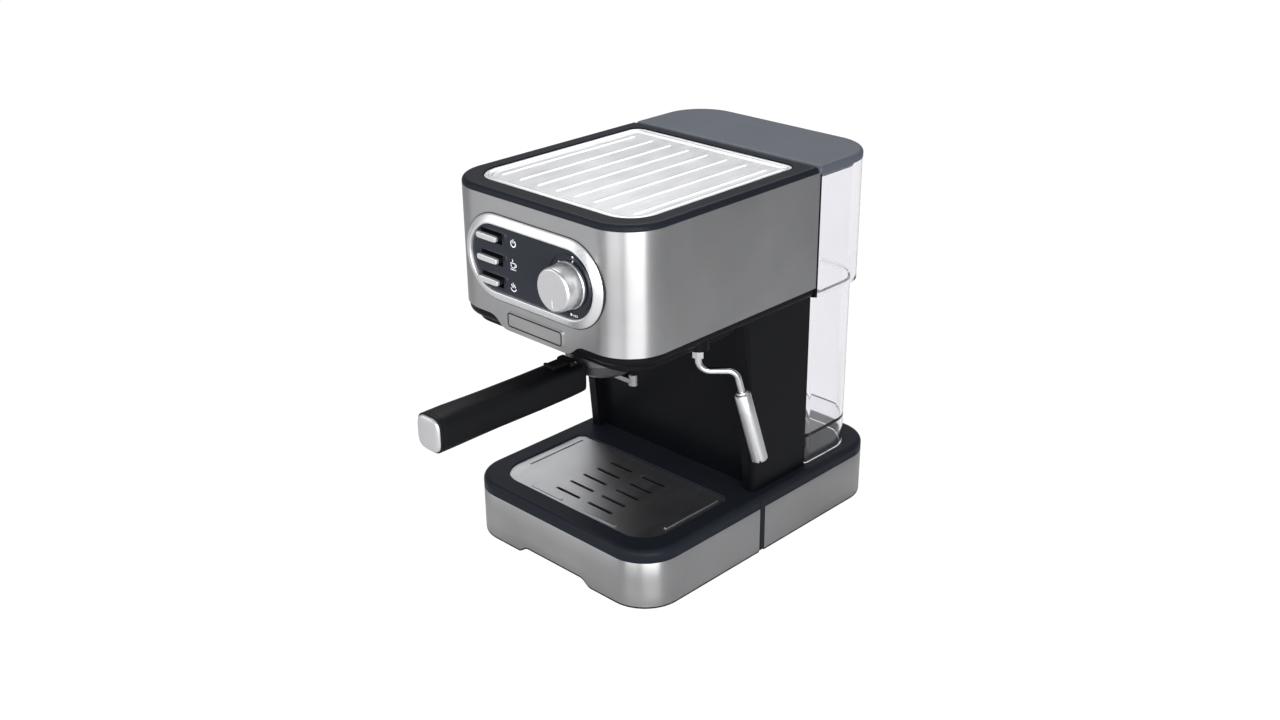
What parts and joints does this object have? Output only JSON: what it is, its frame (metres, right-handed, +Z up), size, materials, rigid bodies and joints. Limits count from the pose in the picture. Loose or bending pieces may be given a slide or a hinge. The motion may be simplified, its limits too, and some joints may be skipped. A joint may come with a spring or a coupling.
{
  "type": "espresso machine",
  "caption": "Pump espresso machine with a steel-wrapped head on a column, turning filter holder, steam wand, lift-out water tank and sliding drip tray.",
  "frame": {"origin": "on the counter, under the middle of the base's footprint", "axes": "+X to the machine's right side seen from the front, +Y to the back, +Z up"},
  "size_m": [0.2256, 0.4056, 0.308],
  "materials": {
    "brushed_steel": "brushed",
    "pressed_steel": "satin",
    "rim_plastic": "semi-gloss, slate black",
    "case_plastic": "semi-gloss",
    "dark_plastic": "matt",
    "panel_gloss": "gloss",
    "grip_plastic": "satin",
    "satin_silver": "satin plated",
    "chrome": "polished",
    "cast_alloy": "cast, dark",
    "plain_steel": "zinc plated",
    "brass": "machined",
    "rubber": "matt",
    "hose": "silicone",
    "clear_tank": "clear moulded"
  },
  "bodies": {
    "machine": {"base_shell": "case_plastic", "base_band": "brushed_steel", "bottom_plate": "plain_steel", "rubber_feet": "rubber", "case_screws": "plain_steel", "column_shell": "case_plastic", "back_panel": "case_plastic", "tank_socket": "case_plastic", "body_wrap": "brushed_steel", "chin_shell": "case_plastic", "top_rim": "rim_plastic", "warming_plate": "pressed_steel", "panel_bezel": "satin_silver", "control_panel": "panel_gloss", "badge_plate": "satin_silver", "switch_block": "dark_plastic", "steam_valve": "brass", "group_collar": "cast_alloy", "group_gasket": "rubber", "shower_screen": "pressed_steel", "boiler_lower": "cast_alloy", "boiler_upper": "cast_alloy", "boiler_screws": "plain_steel", "thermostats": "dark_plastic", "pump": "dark_plastic", "pump_mounts": "rubber", "pump_bracket": "pressed_steel", "suction_hose": "hose", "pressure_hose": "hose", "steam_pipes": "brass", "wiring_harness": "hose", "cord_gland": "case_plastic", "wand_socket": "chrome"},
    "drip_tray": {"tray_tub": "case_plastic", "tray_band": "brushed_steel"},
    "drip_grid": {"drip_grid": "pressed_steel"},
    "portafilter": {"filter_cup": "cast_alloy", "filter_basket": "pressed_steel", "twin_spout": "chrome", "handle_grip": "grip_plastic", "handle_bolt": "plain_steel", "handle_end_cap": "satin_silver", "clip_pin": "plain_steel"},
    "filter_clip": {"filter_clip": "grip_plastic"},
    "steam_knob": {"knob": "satin_silver", "valve_spindle": "plain_steel"},
    "key_power": {"key_power": "dark_plastic", "key_power_tip": "satin_silver"},
    "key_coffee": {"key_coffee": "dark_plastic", "key_coffee_tip": "satin_silver"},
    "key_steam": {"key_steam": "dark_plastic", "key_steam_tip": "satin_silver"},
    "steam_wand": {"wand_tube": "chrome"},
    "froth_sleeve": {"froth_sleeve": "brushed_steel"},
    "water_tank": {"tank_upper": "clear_tank", "tank_lower": "clear_tank", "lid_pins": "plain_steel", "valve_seat": "dark_plastic"},
    "tank_valve": {"valve_poppet": "dark_plastic"},
    "tank_lid": {"tank_lid": "rim_plastic"}
  },
  "joints": [
    {"name": "tray_slide", "type": "slide", "parent": "machine", "child": "drip_tray", "axis": [0, -1, 0], "range_m": [0, 0.15]},
    {"name": "grid_lift", "type": "slide", "parent": "drip_tray", "child": "drip_grid", "axis": [0, 0, 1], "range_m": [0, 0.08]},
    {"name": "portafilter_turn", "type": "hinge", "parent": "machine", "child": "portafilter", "pos_m": [0, -0.082, 0.19], "axis": [0, 0, 1], "range_deg": [-45, 0]},
    {"name": "filter_clip_flip", "type": "hinge", "parent": "portafilter", "child": "filter_clip", "pos_m": [0, -0.121, 0.176], "axis": [-1, 0, 0], "range_deg": [0, 30]},
    {"name": "steam_knob_turn", "type": "hinge", "parent": "machine", "child": "steam_knob", "pos_m": [0.0405, -0.16, 0.257], "axis": [0, -1, 0], "range_deg": [0, 180]},
    {"name": "key_power_press", "type": "hinge", "parent": "machine", "child": "key_power", "pos_m": [-0.043, -0.146, 0.2735], "axis": [1, 0, 0], "range_deg": [0, 9]},
    {"name": "key_coffee_press", "type": "hinge", "parent": "machine", "child": "key_coffee", "pos_m": [-0.043, -0.146, 0.2565], "axis": [1, 0, 0], "range_deg": [0, 9]},
    {"name": "key_steam_press", "type": "hinge", "parent": "machine", "child": "key_steam", "pos_m": [-0.043, -0.146, 0.2395], "axis": [1, 0, 0], "range_deg": [0, 9]},
    {"name": "wand_swivel", "type": "hinge", "parent": "machine", "child": "steam_wand", "pos_m": [0.084, -0.067, 0.188], "axis": [0, 0, 1], "range_deg": [-90, 12]},
    {"name": "sleeve_slide", "type": "slide", "parent": "steam_wand", "child": "froth_sleeve", "axis": [0.178, 0.178, -0.9678], "range_m": [0, 0.03]},
    {"name": "tank_lift", "type": "slide", "parent": "machine", "child": "water_tank", "axis": [0, 0, 1], "range_m": [0, 0.26]},
    {"name": "tank_valve_close", "type": "slide", "parent": "water_tank", "child": "tank_valve", "axis": [0, 0, -1], "range_m": [0, 0.003]},
    {"name": "tank_lid_hinge", "type": "hinge", "parent": "water_tank", "child": "tank_lid", "pos_m": [0, 0.1312, 0.3033], "axis": [-1, 0, 0], "range_deg": [0, 95]}
  ],
  "couplings": [
    {"joint": "tank_valve_close", "follows": "tank_lift", "ratio": 0.0115}
  ]
}
